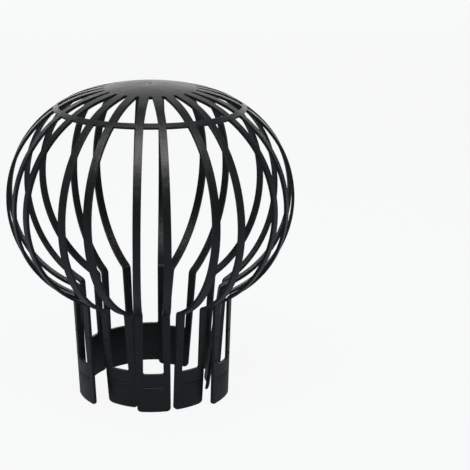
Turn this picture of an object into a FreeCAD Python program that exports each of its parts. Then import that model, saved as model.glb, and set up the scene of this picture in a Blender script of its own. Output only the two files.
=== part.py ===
import FreeCAD, Part
import math
import os
import Sketcher

# Downpipe leaf filter: one moulded plastic cage in the shape of a balloon.
# A closed disc crowns it. Ribs run from the disc through a ring and round the
# belly, come together in pairs at the neck, and each pair ends in a foot plate.
# The feet stand on the plane Z = 0, the axis is Z, and the front faces -Y.
# The features are drawn with the front pair along +X, and the finished cage is
# turned to face -Y.

# Driving dimensions in millimetres and degrees: alias, value, meaning
SIZES = [
    ("overall_height", 145.8, "foot to crown"),
    ("cage_radius", 65.7, "outer radius at the widest level"),
    ("wall", 1.3, "thickness of the moulding, square to its surface"),
    ("cap_radius", 107.6, "arc radius of the shallow cap"),
    ("cap_reach", 28.2, "distance from the axis at which the cap turns into the shoulder"),
    ("shoulder_slope", 43.9, "slope at which the shoulder turns into the side"),
    ("side_radius", 50.3, "arc radius of the side"),
    ("side_slope", 114.3, "slope at which the side turns into the underside"),
    ("under_radius", 48.4, "arc radius of the underside"),
    ("neck_radius", 35.8, "outer radius at the corner between underside and legs"),
    ("neck_round", 1.6, "outer radius of the rounding in that corner"),
    ("foot_radius", 31.9, "outer radius of the neck at the feet"),
    ("disc_radius", 20.8, "radius of the closed disc"),
    ("ring_radius", 43.6, "outer radius of the ring, at its lower edge"),
    ("ring_width", 2.18, "width of the ring's band seen from above"),
    ("rib_at_disc", 3.9, "rib width where it leaves the disc"),
    ("rib_at_ring", 3.35, "rib width at the ring"),
    ("rib_at_side", 3.35, "rib width at the widest level"),
    ("rib_at_neck", 3.8, "rib width at the neck corner"),
    ("rib_at_foot", 2.8, "rib width where it meets the foot plate"),
    ("spread_at_ring", 4.75, "from the middle of a pair to the middle of its rib at the ring"),
    ("spread_at_side", 6.38, "the same at the widest level"),
    ("spread_at_neck", 6.1, "the same at the neck corner"),
    ("spread_at_foot", 6.3, "the same at the foot"),
    ("plate_height", 19.2, "height of a foot plate"),
    ("plate_corner", 2.0, "radius of a foot plate's lower corners"),
    ("window_corner", 0.8, "radius in the lower corners of the window above a plate"),
    ("bevel_height", 1.0, "height of the bevel on a plate's lower outer edge"),
    ("bevel_depth", 0.4, "depth of that bevel"),
    ("score_length", 9.6, "length of the score lines across a foot plate"),
    ("score_level", 12.6, "height of the upper score line"),
    ("score_pitch", 1.4, "distance between the two score lines"),
    ("score_height", 0.7, "opening of a score line"),
    ("score_depth", 0.35, "depth of the upper score line"),
    ("faint_depth", 0.2, "depth of the fainter lower score line"),
    ("pip_width", 1.2, "width of the small grip pips on the legs"),
    ("pip_height", 1.2, "height of a pip along the leg"),
    ("pip_rise", 0.35, "how far a pip stands out of the leg"),
    ("pip_clearance", 2.5, "height of the lower pips above the foot plate"),
    ("pip_pitch", 11.2, "distance between the lower and the upper pips"),
    ("dish_radius", 1.9, "radius of the shallow dish round the gate mark"),
    ("dish_depth", 0.2, "depth of that dish"),
    ("pit_radius", 0.6, "radius of the pit that the gate left"),
    ("pit_depth", 0.7, "depth of that pit below the crown"),
]

# The free legs have taken a set in use. Each line names a pair, counted to the
# right from the front one: the degrees by which it has swung round the axis at
# the widest level, at the neck and at the foot, and the millimetres by which its
# neck corner and its foot have bowed outwards.
LEG_SETS = [
    ("front", -0.1, -0.3, 0.6, 0.5, 0.3),
    ("front_right", -0.1, 0.5, 1.6, 0.2, -0.2),
    ("right_front", 0.8, -1.0, -0.8, 2.9, 5.4),
    ("right", 1.5, -1.0, -0.8, -2.2, -4.9),
    ("right_back", -0.5, -3.5, -4.5, 1.0, 1.0),
    ("back_right", 0.5, 4.0, 7.0, -1.5, -3.5),
    ("back", 0.5, 2.0, 3.5, 0.0, 1.5),
    ("back_left", 0.0, 0.0, 1.5, 0.5, -1.0),
    ("left_back", -1.0, -2.0, 1.8, 0.5, 0.0),
    ("left", -0.1, -0.6, 0.1, 0.0, 1.8),
    ("left_front", -1.8, -3.1, -2.1, 1.8, 3.6),
    ("front_left", 0.0, 1.9, -1.2, -0.4, -4.1),
]

PAIRS = len(LEG_SETS)
PAIR_PITCH = 360.0 / PAIRS

# Points that the smooth rib edges run through between ring and neck corner
EDGE_STATIONS = 13

# How far cutting shapes run past the moulding
OVERRUN = 4.0

# Degrees by which the revolved wall of a pair runs past its outline on each side
BLANK_OVERRUN = 2.5

NODE = "leaf_filter_cage"

SHOULDER_FORMULA = (
    "(Sizes.cage_radius - Sizes.cap_reach - Sizes.side_radius * (1 - sin(Sizes.shoulder_slope)))"
    " / (sin(Sizes.shoulder_slope) - Sizes.cap_reach / Sizes.cap_radius)"
)

doc = FreeCAD.newDocument("leaf_filter")
sheet = doc.addObject("Spreadsheet::Sheet", "Sizes")


def fill_sheet():
    """Write every driving dimension into the sheet and give its cell an alias."""
    rows = list(SIZES)
    for name, side_swing, neck_swing, foot_swing, neck_bow, foot_bow in LEG_SETS:
        rows.append(("side_swing_" + name, side_swing, "swing at the widest level, degrees"))
        rows.append(("neck_swing_" + name, neck_swing, "swing at the neck corner, degrees"))
        rows.append(("foot_swing_" + name, foot_swing, "swing at the foot, degrees"))
        rows.append(("neck_bow_" + name, neck_bow, "outward bow of the neck corner"))
        rows.append(("foot_bow_" + name, foot_bow, "outward bow of the foot"))
    for row, (alias, value, meaning) in enumerate(rows, start=1):
        sheet.set("A%d" % row, meaning)
        sheet.set("B%d" % row, str(value))
        sheet.setAlias("B%d" % row, alias)
    doc.recompute()


def size(alias):
    return float(sheet.get(alias))


def sine(degrees):
    return math.sin(math.radians(degrees))


def cosine(degrees):
    return math.cos(math.radians(degrees))


def upright(point):
    """A point of the section plane: distance from the axis, height."""
    return FreeCAD.Vector(point[0], 0, point[1])


def flat(point):
    return FreeCAD.Vector(point[0], point[1], 0)


def line(start, end):
    return Part.LineSegment(start, end).toShape()


def turned(degrees):
    """A placement turned about the axis, to the left as seen from above."""
    return FreeCAD.Placement(
        FreeCAD.Vector(0, 0, 0), FreeCAD.Rotation(FreeCAD.Vector(0, 0, 1), degrees)
    )


class Arc:
    """One arc of the meridian, about a centre, between two slopes of the wall.

    A slope of 0 is level, 90 is upright and more than 90 leans inwards. The
    radius is negative where the centre lies outside the wall.
    """

    def __init__(self, centre, radius, first, last):
        self.centre = centre
        self.radius = radius
        self.first = first
        self.last = last

    def point(self, slope, depth=0.0):
        """Distance from the axis and height, `depth` inside the outer surface."""
        reach = self.radius - depth
        return self.centre[0] + reach * sine(slope), self.centre[1] + reach * cosine(slope)

    def slope_at(self, distance):
        """Slope at this distance from the axis, above the widest level."""
        return math.degrees(math.asin((distance - self.centre[0]) / self.radius))

    def length(self, first, last):
        return abs(self.radius) * math.radians(abs(last - first))

    def edge(self, depth, first):
        slopes = (first, 0.5 * (first + self.last), self.last)
        return Part.Arc(*[upright(self.point(slope, depth)) for slope in slopes]).toShape()


class Meridian:
    """The wall's outer line from crown to foot: five tangent arcs and the leg."""

    def __init__(self, neck_bow=0.0, foot_bow=0.0):
        neck = size("neck_radius") + neck_bow
        self.foot = size("foot_radius") + foot_bow
        cap_end = math.degrees(math.asin(size("cap_reach") / size("cap_radius")))
        turn = size("shoulder_slope")
        low = size("side_slope")
        side = size("side_radius")
        rise = size("cage_radius") - size("cap_reach") - side * (1 - sine(turn))
        shoulder = rise / (sine(turn) - sine(cap_end))
        self.cap = self.next_arc((0, size("overall_height")), size("cap_radius"), 0, cap_end)
        self.shoulder = self.next_arc(self.cap.point(cap_end), shoulder, cap_end, turn)
        self.side = self.next_arc(self.shoulder.point(turn), side, turn, low)
        self.under = self.next_arc(self.side.point(low), size("under_radius"), low, low)
        inward = (neck - self.under.centre[0]) / self.under.radius
        self.corner_slope = 180 - math.degrees(math.asin(inward))
        self.corner = self.under.point(self.corner_slope)
        self.leg_slope = 90 + math.degrees(math.atan2(neck - self.foot, self.corner[1]))
        self.neck = self.neck_rounding()
        self.under.last = self.neck.first
        self.ring_slope = self.shoulder.slope_at(size("ring_radius") - size("ring_width") / 2)

    def next_arc(self, start, radius, first, last):
        centre = (start[0] - radius * sine(first), start[1] - radius * cosine(first))
        return Arc(centre, radius, first, last)

    def neck_rounding(self):
        """The rounding between underside and leg, centred outside the wall."""
        blend = size("neck_round")
        square = (sine(self.leg_slope), cosine(self.leg_slope))
        along = (-square[1], square[0])
        start = (self.foot + blend * square[0], blend * square[1])
        gap = (start[0] - self.under.centre[0], start[1] - self.under.centre[1])
        half = gap[0] * along[0] + gap[1] * along[1]
        spare = gap[0] ** 2 + gap[1] ** 2 - (self.under.radius + blend) ** 2
        reach = -half - math.sqrt(half * half - spare)
        centre = (start[0] + reach * along[0], start[1] + reach * along[1])
        drop = self.under.centre[1] - centre[1]
        first = 90 + math.degrees(math.atan2(drop, centre[0] - self.under.centre[0]))
        return Arc(centre, -blend, first, self.leg_slope)

    def leg_radius(self, height, depth=0.0):
        """Distance of the leg from the axis at this height."""
        lean = cosine(self.leg_slope) / sine(self.leg_slope)
        return self.foot - lean * height - depth / sine(self.leg_slope)

    def stations(self):
        """Evenly spaced points from ring to neck corner.

        Gives the length run from the ring, distance and height of each, then
        the run at the widest level and the whole run.
        """
        parts = (
            (self.shoulder, self.ring_slope, self.shoulder.last),
            (self.side, self.side.first, self.side.last),
            (self.under, self.under.first, self.corner_slope),
        )
        runs = [arc.length(first, last) for arc, first, last in parts]
        widest = runs[0] + self.side.length(self.side.first, 90)
        points = []
        for index in range(EDGE_STATIONS):
            run = sum(runs) * index / (EDGE_STATIONS - 1)
            rest = run
            for (arc, first, last), length in zip(parts, runs):
                if rest <= length or arc is self.under:
                    slope = first + (last - first) * rest / length
                    points.append((run,) + arc.point(slope))
                    break
                rest -= length
        return points, widest, sum(runs)


def through(values, places, place):
    """Value at a place on the parabola through three values at three places."""
    total = 0.0
    for index, value in enumerate(values):
        factor = value
        for other in range(3):
            if other != index:
                factor *= (place - places[other]) / (places[index] - places[other])
        total += factor
    return total


def pair_section(meridian):
    """Section of the wall from inside the ring to below the feet."""
    wall = size("wall")
    first = meridian.ring_slope
    starts = (first, meridian.side.first, meridian.under.first, meridian.neck.first)
    arcs = (meridian.shoulder, meridian.side, meridian.under, meridian.neck)
    outer = [arc.edge(0.0, start) for arc, start in zip(arcs, starts)]
    inner = [arc.edge(wall, start) for arc, start in zip(arcs, starts)]
    bevel = size("bevel_height")
    corners = [
        upright(meridian.neck.point(meridian.leg_slope)),
        upright((meridian.leg_radius(bevel), bevel)),
        upright((meridian.foot - size("bevel_depth"), 0)),
        upright((meridian.foot - size("bevel_depth"), -OVERRUN)),
        upright((meridian.leg_radius(-OVERRUN, wall), -OVERRUN)),
        upright(meridian.neck.point(meridian.leg_slope, wall)),
    ]
    straight = [line(start, end) for start, end in zip(corners, corners[1:])]
    rim = line(*[upright(meridian.shoulder.point(first, depth)) for depth in (wall, 0.0)])
    return Part.Face(Part.Wire(outer + straight + inner[::-1] + [rim]))


def rib_edges(meridian, turns, side):
    """Outline of one edge of a rib pair, seen along the pair's own direction.

    turns holds the pair's swing at the ring, the widest level, the neck and the
    foot. side is (sign, share): the sign picks left or right, and a share of 1
    is the pair's outer edge and -1 the window's. Gives the points of the smooth
    run and the foot.
    """
    sign, share = side
    spreads = [size("spread_at_" + level) for level in ("ring", "side", "neck")]
    widths = [size("rib_at_" + level) for level in ("ring", "side", "neck")]
    stations, widest, whole = meridian.stations()
    places = (0.0, widest, whole)
    points = []
    for run, distance, height in stations:
        offset = through(spreads, places, run) + share * through(widths, places, run) / 2
        turn = math.radians(through(turns[:3], places, run))
        across = distance * math.sin(turn + sign * offset / distance)
        points.append(FreeCAD.Vector(0, across, height))
    offset = size("spread_at_foot") + share * size("rib_at_foot") / 2
    across = meridian.foot * math.sin(math.radians(turns[3]) + sign * offset / meridian.foot)
    return points, FreeCAD.Vector(0, across, 0)


def outline(meridian, turns, share, floor, above):
    """Closed outline of a rib pair or of its window, down to the height `floor`."""
    bottoms = []
    tops = []
    edges = []
    for sign in (-1, 1):
        points, foot = rib_edges(meridian, turns, (sign, share))
        smooth = Part.BSplineCurve()
        smooth.interpolate(points)
        corner = points[-1]
        bottom = foot + (corner - foot) * (floor / corner.z)
        top = points[0] + FreeCAD.Vector(0, 0, above)
        edges += [line(top, points[0]), smooth.toShape(), line(corner, bottom)]
        tops.append(top)
        bottoms.append(bottom)
    edges += [line(*tops), line(*bottoms)]
    return Part.Wire(Part.__sortEdges__(edges))


def bar(wire, level, radius):
    """Extrude an outline outwards and round its two lower edges."""
    face = Part.Face(wire)
    face.translate(FreeCAD.Vector(OVERRUN, 0, 0))
    solid = face.extrude(FreeCAD.Vector(size("cage_radius") + OVERRUN, 0, 0))
    ends = []
    for edge in solid.Edges:
        first, last = edge.Vertexes[0].Point, edge.Vertexes[-1].Point
        along = abs(first.x - last.x) > 1 and (first - last).Length - abs(first.x - last.x) < 1e-6
        if along and abs(first.z - level) < 1e-6:
            ends.append(edge)
    return solid.makeFillet(radius, ends)


def sector(section, angle):
    """Revolve a section about the axis, evenly to both sides."""
    face = section.copy()
    face.rotate(FreeCAD.Vector(0, 0, 0), FreeCAD.Vector(0, 0, 1), -angle / 2)
    return face.revolve(FreeCAD.Vector(0, 0, 0), FreeCAD.Vector(0, 0, 1), angle)


def swing_at(meridian, turns, level):
    """Swing of a leg at this height, in degrees."""
    share = level / meridian.corner[1]
    return turns[3] * (1 - share) + turns[2] * share


def score_line(meridian, turns, level, depth):
    """A notch across a foot plate, to be cut from it."""
    radius = meridian.leg_radius(level)
    opening = size("score_height") / 2
    mouth = radius + depth
    corners = [
        upright((radius - depth, level)),
        upright((mouth, level + 2 * opening)),
        upright((mouth, level - 2 * opening)),
    ]
    section = Part.Face(Part.makePolygon(corners + corners[:1]))
    notch = sector(section, math.degrees(size("score_length") / radius))
    swing = swing_at(meridian, turns, level)
    notch.rotate(FreeCAD.Vector(0, 0, 0), FreeCAD.Vector(0, 0, 1), swing)
    return notch


def grip_pips(meridian, turns):
    """Two small ridges across each leg of a pair."""
    rise = size("pip_rise")
    half_width = size("pip_width") / 2
    lowest = size("plate_height") + size("pip_clearance")
    pips = []
    for level in (lowest, lowest + size("pip_pitch")):
        share = level / meridian.corner[1]
        spread = size("spread_at_foot") * (1 - share) + size("spread_at_neck") * share
        radius = meridian.leg_radius(level)
        corners = [
            upright((radius - rise, level - size("pip_height"))),
            upright((radius + rise, level)),
            upright((radius - rise, level + size("pip_height"))),
        ]
        section = Part.Face(Part.makePolygon(corners + corners[:1]))
        section.translate(FreeCAD.Vector(0, -half_width, 0))
        ridge = section.extrude(FreeCAD.Vector(0, 2 * half_width, 0))
        for sign in (-1, 1):
            pip = ridge.copy()
            turn = swing_at(meridian, turns, level) + sign * math.degrees(spread / radius)
            pip.rotate(FreeCAD.Vector(0, 0, 0), FreeCAD.Vector(0, 0, 1), turn)
            pips.append(pip)
    return pips


def leg_pair(index):
    """Two ribs from the ring down to the foot plate that joins them."""
    name = LEG_SETS[index][0]
    turns = [0.0] + [size(level + "_swing_" + name) for level in ("side", "neck", "foot")]
    meridian = Meridian(size("neck_bow_" + name), size("foot_bow_" + name))
    reach = math.degrees((size("spread_at_side") + size("rib_at_side")) / meridian.foot)
    most = max(abs(turn) for turn in turns)
    blank = sector(pair_section(meridian), 2 * (reach + most + BLANK_OVERRUN)).toNurbs()
    plate_top = size("plate_height")
    body = bar(outline(meridian, turns, 1, 0.0, 2 * OVERRUN), 0.0, size("plate_corner"))
    window = outline(meridian, turns, -1, plate_top, 3 * OVERRUN)
    body = body.cut(bar(window, plate_top, size("window_corner")))
    pair = blank.common(body)
    upper = size("score_level")
    lines = [
        score_line(meridian, turns, upper, size("score_depth")),
        score_line(meridian, turns, upper - size("score_pitch"), size("faint_depth")),
    ]
    pair = pair.cut(lines).fuse(grip_pips(meridian, turns))
    pair.rotate(FreeCAD.Vector(0, 0, 0), FreeCAD.Vector(0, 0, 1), index * PAIR_PITCH)
    feature = doc.addObject("Part::Feature", "pair_" + name)
    feature.Shape = pair
    return feature


def new_sketch(body, name, role):
    plane = [item for item in body.Origin.OriginFeatures if item.Role == role][0]
    sketch = body.newObject("Sketcher::SketchObject", name)
    sketch.AttachmentSupport = (plane, [""])
    sketch.MapMode = "FlatFace"
    return sketch


def drive(sketch, name, formula, *constraint):
    """Add a named constraint whose value follows a formula of the sheet's cells."""
    index = sketch.addConstraint(Sketcher.Constraint(*constraint))
    sketch.renameConstraint(index, name)
    sketch.setExpression("Constraints." + name, formula)


def tie(sketch, kind, *elements):
    sketch.addConstraint(Sketcher.Constraint(kind, *elements))


def sketch_arc(sketch, arc, depth, first, last):
    """An arc of the wall, drawn from its last slope (point 1) to its first (point 2)."""
    circle = Part.Circle(flat(arc.centre), FreeCAD.Vector(0, 0, 1), arc.radius - depth)
    span = (math.radians(90 - last), math.radians(90 - first))
    return sketch.addGeometry(Part.ArcOfCircle(circle, *span), False)


def gate_lines(sketch, lip):
    """The pit and the shallow dish that the moulding gate left in the disc.

    lip is the dish's outer end on the cap. Gives the pit's floor and the dish.
    """
    top = size("overall_height")
    corners = [
        flat((0, top - size("pit_depth"))),
        flat((size("pit_radius"), top - size("pit_depth"))),
        flat((size("pit_radius"), top - size("dish_depth"))),
        flat(lip),
    ]
    floor, side, dish = [
        sketch.addGeometry(Part.LineSegment(start, end), False)
        for start, end in zip(corners, corners[1:])
    ]
    tie(sketch, "Coincident", floor, 2, side, 1)
    tie(sketch, "Coincident", side, 2, dish, 1)
    tie(sketch, "PointOnObject", floor, 1, -2)
    tie(sketch, "Horizontal", floor)
    tie(sketch, "Vertical", side)
    drive(sketch, "pit", "Sizes.pit_radius", "DistanceX", -1, 1, side, 1, size("pit_radius"))
    drive(sketch, "pit_floor", "Sizes.overall_height - Sizes.pit_depth",
          "DistanceY", -1, 1, floor, 1, corners[0].y)
    drive(sketch, "dish_floor", "Sizes.overall_height - Sizes.dish_depth",
          "DistanceY", -1, 1, dish, 1, corners[2].y)
    drive(sketch, "dish", "Sizes.dish_radius", "DistanceX", -1, 1, dish, 2, lip[0])
    return floor, dish


def crown_section(body, meridian):
    """Half section of the crown: cap and shoulder down to the ring's lower edge."""
    sketch = new_sketch(body, "crown_section", "XZ_Plane")
    wall = size("wall")
    cap, shoulder = meridian.cap, meridian.shoulder
    rim_slope = shoulder.slope_at(size("ring_radius"))
    dish_slope = cap.slope_at(size("dish_radius"))
    cap_out = sketch_arc(sketch, cap, 0.0, dish_slope, cap.last)
    cap_in = sketch_arc(sketch, cap, wall, 0.0, cap.last)
    shoulder_out = sketch_arc(sketch, shoulder, 0.0, shoulder.first, rim_slope)
    shoulder_in = sketch_arc(sketch, shoulder, wall, shoulder.first, rim_slope)
    rim_ends = [flat(shoulder.point(rim_slope, depth)) for depth in (0.0, wall)]
    rim = sketch.addGeometry(Part.LineSegment(*rim_ends), False)
    floor, dish = gate_lines(sketch, cap.point(dish_slope))
    axis_ends = [sketch.getPoint(floor, 1), sketch.getPoint(cap_in, 2)]
    axis = sketch.addGeometry(Part.LineSegment(*axis_ends), False)
    tie(sketch, "Coincident", shoulder_out, 1, rim, 1)
    tie(sketch, "Coincident", shoulder_in, 1, rim, 2)
    tie(sketch, "Coincident", dish, 2, cap_out, 2)
    tie(sketch, "Coincident", floor, 1, axis, 1)
    tie(sketch, "Coincident", cap_in, 2, axis, 2)
    tie(sketch, "Tangent", cap_out, 1, shoulder_out, 2)
    tie(sketch, "Tangent", cap_in, 1, shoulder_in, 2)
    # Both faces of the wall share their centres, and the rim is square to them
    tie(sketch, "Coincident", cap_out, 3, cap_in, 3)
    tie(sketch, "Coincident", shoulder_out, 3, shoulder_in, 3)
    tie(sketch, "PointOnObject", cap_out, 3, -2)
    tie(sketch, "PointOnObject", cap_in, 2, -2)
    tie(sketch, "PointOnObject", shoulder_out, 3, rim)
    drive(sketch, "top", "Sizes.overall_height - Sizes.cap_radius",
          "DistanceY", -1, 1, cap_out, 3, cap.centre[1])
    drive(sketch, "cap", "Sizes.cap_radius", "Radius", cap_out, cap.radius)
    drive(sketch, "reach", "Sizes.cap_reach",
          "DistanceX", -1, 1, cap_out, 1, size("cap_reach"))
    drive(sketch, "shoulder", SHOULDER_FORMULA, "Radius", shoulder_out, shoulder.radius)
    drive(sketch, "ring", "Sizes.ring_radius",
          "DistanceX", -1, 1, shoulder_out, 1, size("ring_radius"))
    drive(sketch, "thickness", "Sizes.wall", "Distance", rim, wall)
    return sketch


def crown_slot(body, name, bearing, ends):
    """Sketch of a radial slot between disc and ring, about a line at this bearing.

    Each of the two ends is (radius, its formula, half width, its formula).
    """
    sketch = new_sketch(body, name, "XY_Plane")
    turn = math.radians(bearing)
    away = FreeCAD.Vector(math.cos(turn), math.sin(turn), 0)
    centre = FreeCAD.Vector(0, 0, 0)
    middle = sketch.addGeometry(Part.LineSegment(centre, away * ends[1][0]), True)
    tie(sketch, "Coincident", middle, 1, -1, 1)
    tie(sketch, "Angle", -1, middle, turn)
    arcs = []
    for label, (radius, radius_rule, half, half_rule) in zip(("disc", "ring"), ends):
        spread = math.asin(half / radius)
        circle = Part.Circle(centre, FreeCAD.Vector(0, 0, 1), radius)
        arc = sketch.addGeometry(Part.ArcOfCircle(circle, turn - spread, turn + spread), False)
        tie(sketch, "Coincident", arc, 3, -1, 1)
        tie(sketch, "Symmetric", arc, 1, arc, 2, middle)
        drive(sketch, label, radius_rule, "Radius", arc, radius)
        drive(sketch, label + "_width", "2 * (%s)" % half_rule,
              "Distance", arc, 1, arc, 2, 2 * half)
        arcs.append(arc)
    tie(sketch, "PointOnObject", middle, 2, arcs[1])
    for end in (1, 2):
        points = [sketch.getPoint(arc, end) for arc in arcs]
        side = sketch.addGeometry(Part.LineSegment(*points), False)
        tie(sketch, "Coincident", side, 1, arcs[0], end)
        tie(sketch, "Coincident", side, 2, arcs[1], end)
    return sketch


def slot_ends(between):
    """Radii and half widths of a slot within a pair, or of one between two pairs."""
    radii = (size("disc_radius"), size("ring_radius") - size("ring_width"))
    radius_rules = ("Sizes.disc_radius", "Sizes.ring_radius - Sizes.ring_width")
    spreads = (radii[0] * sine(PAIR_PITCH / 4), size("spread_at_ring"))
    spread_rules = ("Sizes.disc_radius * sin(%g)" % (PAIR_PITCH / 4), "Sizes.spread_at_ring")
    widths = (size("rib_at_disc"), size("rib_at_ring"))
    width_rules = ("Sizes.rib_at_disc", "Sizes.rib_at_ring")
    ends = []
    for end in range(2):
        radius, radius_rule = radii[end], radius_rules[end]
        half = spreads[end] - widths[end] / 2
        half_rule = "%s - %s / 2" % (spread_rules[end], width_rules[end])
        if between:
            edge = spreads[end] + widths[end] / 2
            edge_rule = "(%s + %s / 2)" % (spread_rules[end], width_rules[end])
            out = math.sqrt(radius ** 2 - edge ** 2)
            half = out * sine(PAIR_PITCH / 2) - edge * cosine(PAIR_PITCH / 2)
            half_rule = "sqrt((%s)^2 - %s^2) * sin(%g) - %s * cos(%g)" % (
                radius_rule, edge_rule, PAIR_PITCH / 2, edge_rule, PAIR_PITCH / 2)
        ends.append((radius, radius_rule, half, half_rule))
    return ends


def pocket_all_round(body, sketch):
    """Cut a slot through the crown and repeat it for every pair."""
    pocket = body.newObject("PartDesign::Pocket", sketch.Name + "_cut")
    pocket.Profile = sketch
    pocket.Type = "ThroughAll"
    pocket.Midplane = True
    sketch.Visibility = False
    doc.recompute()
    pattern = body.newObject("PartDesign::PolarPattern", sketch.Name + "_pattern")
    pattern.Originals = [pocket]
    pattern.Axis = (sketch, ["N_Axis"])
    pattern.Angle = 360
    pattern.Occurrences = PAIRS
    body.Tip = pattern
    doc.recompute()


def crown():
    """Disc, upper ribs and ring: a dome with slots between disc and ring."""
    body = doc.addObject("PartDesign::Body", "crown")
    section = crown_section(body, Meridian())
    dome = body.newObject("PartDesign::Revolution", "dome")
    dome.Profile = section
    dome.ReferenceAxis = (section, ["V_Axis"])
    dome.Angle = 360
    doc.recompute()
    # Drawn a quarter of a pitch ahead, so that no slot lies along the X or Y axis
    ahead = PAIR_PITCH / 4
    pocket_all_round(body, crown_slot(body, "pair_slot", ahead, slot_ends(False)))
    pocket_all_round(body, crown_slot(body, "gap_slot", ahead + PAIR_PITCH / 2, slot_ends(True)))
    body.Placement = turned(-ahead)
    return body


def cage():
    """Join the crown and the leg pairs into the one moulding."""
    moulding = doc.addObject("Part::MultiFuse", NODE)
    moulding.Label = NODE
    moulding.Shapes = [crown()] + [leg_pair(index) for index in range(PAIRS)]
    moulding.Refine = True
    moulding.Placement = turned(-90)
    doc.recompute()
    return moulding


def check(nodes):
    for feature in doc.Objects:
        if "Invalid" in feature.State or "Error" in feature.State:
            raise RuntimeError("%s has failed" % feature.Label)
    for node in nodes:
        if node.Shape.isNull() or not node.Shape.isValid():
            raise RuntimeError("%s has no valid shape" % node.Label)
        if len(node.Shape.Solids) != 1:
            raise RuntimeError("%s is %d solids" % (node.Label, len(node.Shape.Solids)))


fill_sheet()
nodes = [cage()]
check(nodes)
os.makedirs("parts", exist_ok=True)
for node in nodes:
    node.Shape.exportStep("parts/%s.step" % node.Label)
    box = node.Shape.BoundBox
    print(node.Label, len(node.Shape.Faces), "faces, volume %.0f mm3" % node.Shape.Volume)
    print("X %.2f %.2f, Y %.2f %.2f, Z %.2f %.2f" % (
        box.XMin, box.XMax, box.YMin, box.YMax, box.ZMin, box.ZMax))
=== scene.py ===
import math

import bpy
from mathutils import Matrix, Vector

# Downpipe leaf filter on a pale floor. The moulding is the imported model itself.
# Lengths are metres, camera angles are degrees, and the front faces -Y.

NODE = "leaf_filter_cage"
MM = 0.001
WHITE = (1.0, 1.0, 1.0, 1.0)

# The photograph's camera, found from the outline of the object in the photograph.
# It looks past the target, which lands on the target pixel, counted from the top
# left. The sensor's width is in millimetres, as Blender counts it.
IMAGE_SIZE = 470
SENSOR_WIDTH = 36.0
FOCAL_PIXELS = 1345.1
CAMERA_DISTANCE = 624.5 * MM
CAMERA_ELEVATION = 17.0
CAMERA_AZIMUTH = -0.25
CAMERA_ROLL = -0.52
NEAREST_SEEN = 10.0 * MM
FARTHEST_SEEN = 50.0
TARGET = Vector((0.0, 0.0, 72.2 * MM))
TARGET_PIXEL = (151.6, 239.8)

# The floor mixes its own colour with a white glow. The glow's share is large
# before the camera, small in reflections, and nothing in the light that it gives.
FLOOR_SIZE = 12.0
FLOOR_COLOR = (0.28, 0.34, 0.39, 1.0)
FLOOR_ROUGHNESS = 0.9
FLOOR_GLOW = 1.05
GLOW_SEEN = 0.86
GLOW_IN_GLOSS = 0.11

# Area lights: name, place, width and height, power in watts
LIGHTS = [
    ("overhead", (-0.05, -0.34, 1.0), (1.0, 0.66), 10.0),
    ("back_wall", (0.0, 1.8, 0.90), (2.6, 1.5), 8.3),
    ("horizon", (0.0, 1.75, 0.32), (2.6, 0.6), 6.0),
    ("left_wall", (-1.3, 0.0, 0.45), (0.9, 0.9), 0.8),
    ("right_wall", (1.3, 0.0, 0.45), (0.9, 0.9), 0.8),
]

# The world's strength as a light, and as the camera sees it
WORLD_LIGHT = 0.09
WORLD_SEEN = 0.93

PLASTIC_COLOR = (0.0010, 0.0018, 0.0028, 1.0)
PLASTIC_PALE = (0.008, 0.010, 0.012, 1.0)
PLASTIC_ROUGHNESS = (0.30, 0.50)
PLASTIC_IOR = 1.5

# Noise patterns in the plastic: scale and detail
STREAKS = (95.0, 3.0)
CLOUDS = (38.0, 4.0)
DUST = (900.0, 2.0)
GRAIN = (1600.0, 2.0)
MOTTLE = (330.0, 3.0)
NOISE_ROUGHNESS = 0.6

# Height against the turn round the axis: it makes the streaks long and narrow
STREAK_HEIGHT = 2.5

# The flow marks are streaks and clouds. Ranges of the noise that turn into gloss,
# into a paler tone and into dust, and how pale the last two get
STREAK_SHARE = 0.65
CLOUD_SHARE = 0.35
GLOSS_RANGE = (0.35, 0.65)
PALE_RANGE = (0.42, 0.70)
PALE_SHARE = 0.6
DUST_RANGE = (0.63, 0.75)
DUST_SHARE = 0.5

# Relief of the surface: the bump, each pattern's part in it, and the rounded edges
BUMP_STRENGTH = 0.5
BUMP_HEIGHT = 0.25 * MM
GRAIN_RELIEF = 0.35
STREAK_RELIEF = 0.45
MOTTLE_RELIEF = 1.6
EDGE_RADIUS = 0.25 * MM
EDGE_SAMPLES = 6

# The gate mark in the middle of the disc, painted: a dark spot of painted shade, as in a pit,
# inside a ring of painted highlight
GATE_HEIGHT = 130.0 * MM
# The radius of the gate mark's spot of painted shade
GATE_SHADE_RADIUS = 0.7 * MM
GATE_HIGHLIGHT_REACH = 2.8 * MM
# The colour of the gate mark's painted highlight
GATE_HIGHLIGHT_PAINT = (0.24, 0.24, 0.23, 1.0)

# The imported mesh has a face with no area, which goes when its points are welded.
# Edges that turn by more than the crisp angle are then split, as they were before.
WELD_DISTANCE = 0.0001 * MM
CRISP_ANGLE = math.radians(30.0)


def node(tree, kind, **inputs):
    """A shader node with some of its inputs set; names use _ for a space."""
    made = tree.nodes.new(kind)
    for name, value in inputs.items():
        made.inputs[name.replace("_", " ")].default_value = value
    return made


def math_node(tree, operation, *values):
    """What an operation makes of numbers and of other nodes' outputs."""
    made = tree.nodes.new("ShaderNodeMath")
    made.operation = operation
    for index, value in enumerate(values):
        if isinstance(value, (int, float)):
            made.inputs[index].default_value = value
        else:
            tree.links.new(value, made.inputs[index])
    return made.outputs[0]


def weighted_sum(tree, *terms):
    """The sum of some values, each times its weight."""
    parts = [math_node(tree, "MULTIPLY", value, weight) for value, weight in terms]
    total = parts[0]
    for part in parts[1:]:
        total = math_node(tree, "ADD", total, part)
    return total


def noise(tree, place, pattern):
    scale, detail = pattern
    made = node(
        tree, "ShaderNodeTexNoise", Scale=scale, Detail=detail, Roughness=NOISE_ROUGHNESS
    )
    tree.links.new(place, made.inputs["Vector"])
    return made.outputs[0]


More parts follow.
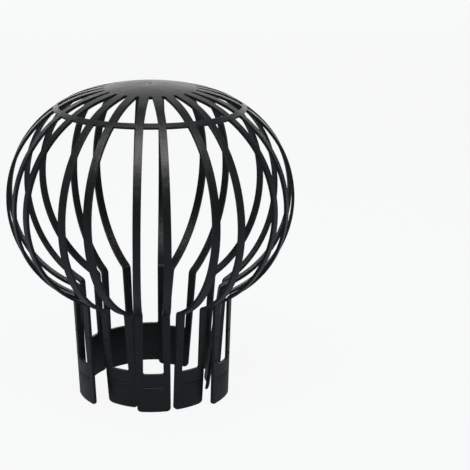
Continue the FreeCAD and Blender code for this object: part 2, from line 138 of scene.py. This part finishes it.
def spread(tree, value, source, goal):
    """A value moved from the source range to the goal range, and held within it."""
    made = node(
        tree, "ShaderNodeMapRange",
        From_Min=source[0], From_Max=source[1], To_Min=goal[0], To_Max=goal[1],
    )
    tree.links.new(value, made.inputs["Value"])
    return made.outputs[0]


def mix_color(tree, share, first, second):
    """Two colours mixed, each a value or another node's output."""
    made = tree.nodes.new("ShaderNodeMixRGB")
    tree.links.new(share, made.inputs["Fac"])
    for name, value in (("Color1", first), ("Color2", second)):
        if isinstance(value, tuple):
            made.inputs[name].default_value = value
        else:
            tree.links.new(value, made.inputs[name])
    return made.outputs[0]


def new_material(name):
    """A material, its node tree and its shader."""
    material = bpy.data.materials.new(name)
    material.use_nodes = True
    tree = material.node_tree
    return material, tree, tree.nodes["Principled BSDF"]


def along_the_ribs(tree, place):
    """Coordinates for marks along the ribs: the turn round the axis, and height."""
    parts = tree.nodes.new("ShaderNodeSeparateXYZ")
    tree.links.new(place, parts.inputs[0])
    turn = math_node(tree, "ARCTAN2", parts.outputs["X"], parts.outputs["Y"])
    height = math_node(tree, "MULTIPLY", parts.outputs["Z"], STREAK_HEIGHT)
    joined = tree.nodes.new("ShaderNodeCombineXYZ")
    tree.links.new(turn, joined.inputs["X"])
    tree.links.new(height, joined.inputs["Y"])
    return joined.outputs[0]


def gate_mark_painted_light(tree, place):
    """Where the gate mark's ring of painted highlight and its spot of painted shade are, each
    from 0 to 1.
    """
    parts = tree.nodes.new("ShaderNodeSeparateXYZ")
    tree.links.new(place, parts.inputs[0])
    squares = [math_node(tree, "MULTIPLY", parts.outputs[axis], parts.outputs[axis])
               for axis in "XY"]
    reach = math_node(tree, "SQRT", math_node(tree, "ADD", *squares))
    on_top = math_node(tree, "GREATER_THAN", parts.outputs["Z"], GATE_HEIGHT)
    near = spread(tree, reach, (GATE_SHADE_RADIUS, GATE_HIGHLIGHT_REACH), (1.0, 0.0))
    # Painted shade: the dark spot in the middle of the gate mark
    painted_pit_shade = math_node(tree, "MULTIPLY", on_top, math_node(tree, "LESS_THAN", reach, GATE_SHADE_RADIUS))
    painted_highlight = math_node(tree, "MULTIPLY", on_top, near)
    return painted_highlight, painted_pit_shade


def relief(tree, place, streaks):
    """The surface's direction: rounded edges, with grain, streaks and mottling on top."""
    edge = node(tree, "ShaderNodeBevel", Radius=EDGE_RADIUS)
    edge.samples = EDGE_SAMPLES
    height = weighted_sum(
        tree,
        (noise(tree, place, GRAIN), GRAIN_RELIEF),
        (streaks, STREAK_RELIEF),
        (noise(tree, place, MOTTLE), MOTTLE_RELIEF),
    )
    bump = node(tree, "ShaderNodeBump", Strength=BUMP_STRENGTH, Distance=BUMP_HEIGHT)
    tree.links.new(height, bump.inputs["Height"])
    tree.links.new(edge.outputs[0], bump.inputs["Normal"])
    return bump.outputs[0]


def plastic():
    """Black moulded polypropylene: flow marks, uneven gloss, a fine grain, dust, and a painted
    highlight and painted shade at the gate mark.
    """
    material, tree, shader = new_material("moulded_black_plastic")
    shader.inputs["IOR"].default_value = PLASTIC_IOR
    place = tree.nodes.new("ShaderNodeTexCoord").outputs["Object"]
    streaks = noise(tree, along_the_ribs(tree, place), STREAKS)
    clouds = noise(tree, place, CLOUDS)
    flow = weighted_sum(tree, (streaks, STREAK_SHARE), (clouds, CLOUD_SHARE))
    painted_highlight, painted_pit_shade = gate_mark_painted_light(tree, place)
    gloss = spread(tree, flow, GLOSS_RANGE, PLASTIC_ROUGHNESS)
    # The gate mark's spot of painted shade is also made fully rough
    tree.links.new(math_node(tree, "MAXIMUM", gloss, painted_pit_shade), shader.inputs["Roughness"])

    dust = spread(tree, noise(tree, place, DUST), DUST_RANGE, (0.0, DUST_SHARE))
    pale = spread(tree, flow, PALE_RANGE, (0.0, PALE_SHARE))
    tone = math_node(tree, "ADD", dust, pale)
    color = mix_color(tree, tone, PLASTIC_COLOR, PLASTIC_PALE)
    # Painted highlight: a pale ring round the gate mark, mottled by the clouds
    color = mix_color(tree, math_node(tree, "MULTIPLY", painted_highlight, clouds), color, GATE_HIGHLIGHT_PAINT)
    # Painted shade: the middle of the gate mark is painted the plain dark colour, as a pit's
    # shade
    color = mix_color(tree, painted_pit_shade, color, PLASTIC_COLOR)
    tree.links.new(color, shader.inputs["Base Color"])
    tree.links.new(relief(tree, place, streaks), shader.inputs["Normal"])
    return material


def pale_floor():
    """A pale floor. A glow keeps it near white before the camera, with a faint shadow."""
    material, tree, surface = new_material("pale_floor")
    surface.inputs["Base Color"].default_value = FLOOR_COLOR
    surface.inputs["Roughness"].default_value = FLOOR_ROUGHNESS
    glow = node(tree, "ShaderNodeEmission", Strength=FLOOR_GLOW)
    ray = tree.nodes.new("ShaderNodeLightPath")
    share = weighted_sum(
        tree,
        (ray.outputs["Is Camera Ray"], GLOW_SEEN),
        (ray.outputs["Is Glossy Ray"], GLOW_IN_GLOSS),
    )
    mixed = tree.nodes.new("ShaderNodeMixShader")
    tree.links.new(share, mixed.inputs["Fac"])
    tree.links.new(surface.outputs[0], mixed.inputs[1])
    tree.links.new(glow.outputs[0], mixed.inputs[2])
    tree.links.new(mixed.outputs[0], tree.nodes["Material Output"].inputs["Surface"])
    bpy.ops.mesh.primitive_plane_add(size=FLOOR_SIZE)
    floor = bpy.context.object
    floor.name = "floor"
    floor.data.materials.append(material)


def dim_world():
    """A world that gives little light, and that the camera sees nearly white."""
    world = bpy.data.worlds.new("studio")
    bpy.context.scene.world = world
    world.use_nodes = True
    tree = world.node_tree
    background = tree.nodes["Background"]
    background.inputs["Color"].default_value = WHITE
    ray = tree.nodes.new("ShaderNodeLightPath")
    strength = spread(tree, ray.outputs["Is Camera Ray"], (0.0, 1.0), (WORLD_LIGHT, WORLD_SEEN))
    tree.links.new(strength, background.inputs["Strength"])


def area_light(name, place, width, height, power):
    """A soft rectangular light that shines on the middle of the object."""
    data = bpy.data.lights.new(name, "AREA")
    data.shape = "RECTANGLE"
    data.size = width
    data.size_y = height
    data.energy = power
    light = bpy.data.objects.new(name, data)
    light.location = place
    aim = TARGET - Vector(place)
    light.rotation_mode = "QUATERNION"
    light.rotation_quaternion = aim.to_track_quat("-Z", "Y")
    bpy.context.scene.collection.objects.link(light)


def photo_view():
    """The camera's place, and its directions to the right, up and forward."""
    rise = math.radians(CAMERA_ELEVATION)
    turn = Matrix.Rotation(math.radians(CAMERA_AZIMUTH), 3, "Z")
    forward = turn @ Vector((0.0, math.cos(rise), -math.sin(rise)))
    right = turn @ Vector((1.0, 0.0, 0.0))
    up = right.cross(forward)
    place = TARGET - forward * CAMERA_DISTANCE

    # Turn away from the target until it lands on its pixel, then roll
    middle = IMAGE_SIZE / 2
    yaw = math.atan((middle - TARGET_PIXEL[0]) / FOCAL_PIXELS)
    pitch = math.atan((middle - TARGET_PIXEL[1]) / FOCAL_PIXELS)
    yawing = Matrix.Rotation(-yaw, 3, up)
    forward = yawing @ forward
    right = yawing @ right
    forward = Matrix.Rotation(-pitch, 3, right) @ forward
    up = right.cross(forward)
    roll = math.radians(CAMERA_ROLL)
    rolled_right = right * math.cos(roll) + up * math.sin(roll)
    rolled_up = up * math.cos(roll) - right * math.sin(roll)
    return place, rolled_right, rolled_up, forward


def camera():
    place, right, up, forward = photo_view()
    data = bpy.data.cameras.new("photo_camera")
    data.sensor_width = SENSOR_WIDTH
    data.lens = FOCAL_PIXELS / IMAGE_SIZE * SENSOR_WIDTH
    data.clip_start = NEAREST_SEEN
    data.clip_end = FARTHEST_SEEN
    made = bpy.data.objects.new("photo_camera", data)
    axes = Matrix((right, up, -forward)).transposed().to_4x4()
    made.matrix_world = Matrix.Translation(place) @ axes
    bpy.context.scene.collection.objects.link(made)
    bpy.context.scene.camera = made


def crisp_mesh(moulding):
    """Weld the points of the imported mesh, and split its crisp edges again."""
    weld = moulding.modifiers.new("weld", "WELD")
    weld.merge_threshold = WELD_DISTANCE
    split = moulding.modifiers.new("crisp_edges", "EDGE_SPLIT")
    split.split_angle = CRISP_ANGLE


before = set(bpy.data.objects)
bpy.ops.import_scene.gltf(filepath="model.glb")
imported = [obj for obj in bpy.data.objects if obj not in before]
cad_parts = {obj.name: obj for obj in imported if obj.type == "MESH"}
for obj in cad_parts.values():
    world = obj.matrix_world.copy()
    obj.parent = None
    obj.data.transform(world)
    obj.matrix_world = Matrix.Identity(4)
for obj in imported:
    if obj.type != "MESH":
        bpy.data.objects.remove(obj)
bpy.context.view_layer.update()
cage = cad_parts[NODE]
cage.data.materials.clear()
cage.data.materials.append(plastic())
crisp_mesh(cage)
pale_floor()
dim_world()
for name, place, (width, height), power in LIGHTS:
    area_light(name, place, width, height, power)
camera()
bpy.context.scene.view_settings.view_transform = "Standard"
